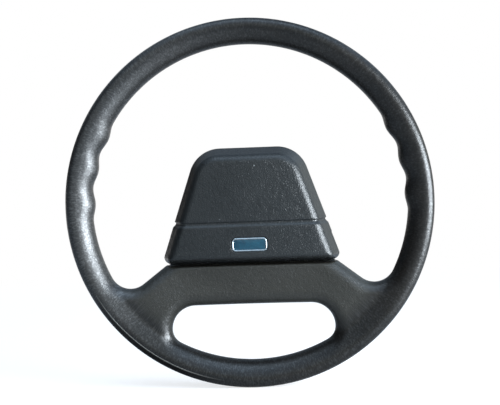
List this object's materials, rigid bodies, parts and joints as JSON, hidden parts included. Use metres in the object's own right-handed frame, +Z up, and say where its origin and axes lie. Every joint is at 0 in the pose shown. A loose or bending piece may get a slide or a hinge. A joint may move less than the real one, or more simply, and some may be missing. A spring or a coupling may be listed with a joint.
{
  "type": "car steering wheel",
  "caption": "Two-spoke moulded steering wheel with finger swells, a D-shaped lower window and a wide press-in horn pad.",
  "frame": {"origin": "centre of the shaft bore's mouth, at the hub's rear face", "axes": "+Y along the steering shaft, away from the driver; +Z up in the straight-ahead position; +X to the driver's right"},
  "size_m": [0.38, 0.0829, 0.38],
  "materials": {
    "rim_skin": "leather-grained self-skinning foam, satin, worn glossy on the grips",
    "pad_skin": "coarse leather grain, satin",
    "frame_steel": "black dip paint",
    "hub_steel": "turned steel, lightly oiled",
    "shroud_plastic": "fine spark-eroded texture",
    "ring_plastic": "moulded nylon, satin",
    "ring_brass": "turned, brush-worn track",
    "contact_copper": "riveted contact metal",
    "bush_plastic": "natural nylon",
    "spring_steel": "drawn wire",
    "screw_steel": "zinc plated",
    "plated_steel": "zinc plated sheet",
    "carrier_plastic": "glass-filled nylon, satin",
    "bezel_chrome": "satin chrome",
    "inlay_enamel": "plain dark blue lacquer, no lettering"
  },
  "bodies": {
    "wheel": {"rim_cover": "rim_skin", "rim_rod": "frame_steel", "spoke_frame": "frame_steel", "hub_boss": "hub_steel", "back_shroud": "shroud_plastic", "slip_ring_carrier": "ring_plastic", "slip_ring": "ring_brass", "feed_pin": "ring_brass", "pin_sleeve": "bush_plastic", "feed_spring": "spring_steel", "guide_screw_1": "screw_steel", "guide_screw_2": "screw_steel", "guide_screw_3": "screw_steel", "guide_screw_4": "screw_steel", "horn_spring_1": "spring_steel", "horn_spring_2": "spring_steel", "horn_spring_3": "spring_steel", "horn_spring_4": "spring_steel", "fixed_contact_l": "contact_copper", "fixed_contact_r": "contact_copper", "shroud_screw_1": "screw_steel", "shroud_screw_2": "screw_steel", "shroud_screw_3": "screw_steel"},
    "horn_pad": {"pad_cover": "pad_skin", "pad_carrier": "carrier_plastic", "horn_plate": "plated_steel", "moving_contact_l": "contact_copper", "moving_contact_r": "contact_copper", "guide_bush_1": "bush_plastic", "guide_bush_2": "bush_plastic", "guide_bush_3": "bush_plastic", "guide_bush_4": "bush_plastic", "carrier_screw_1": "screw_steel", "carrier_screw_2": "screw_steel", "carrier_screw_3": "screw_steel", "carrier_screw_4": "screw_steel", "badge_bezel": "bezel_chrome", "badge_inlay": "inlay_enamel", "badge_clip_l": "plated_steel", "badge_clip_r": "plated_steel"}
  },
  "joints": [
    {"name": "horn_press", "type": "slide", "parent": "wheel", "child": "horn_pad", "axis": [0, 1, 0], "range_m": [0, 0.0025], "stiffness_N_per_m": 5000, "springref_m": -0.003, "deforming": ["feed_spring", "horn_spring_1", "horn_spring_2", "horn_spring_3", "horn_spring_4"]}
  ]
}
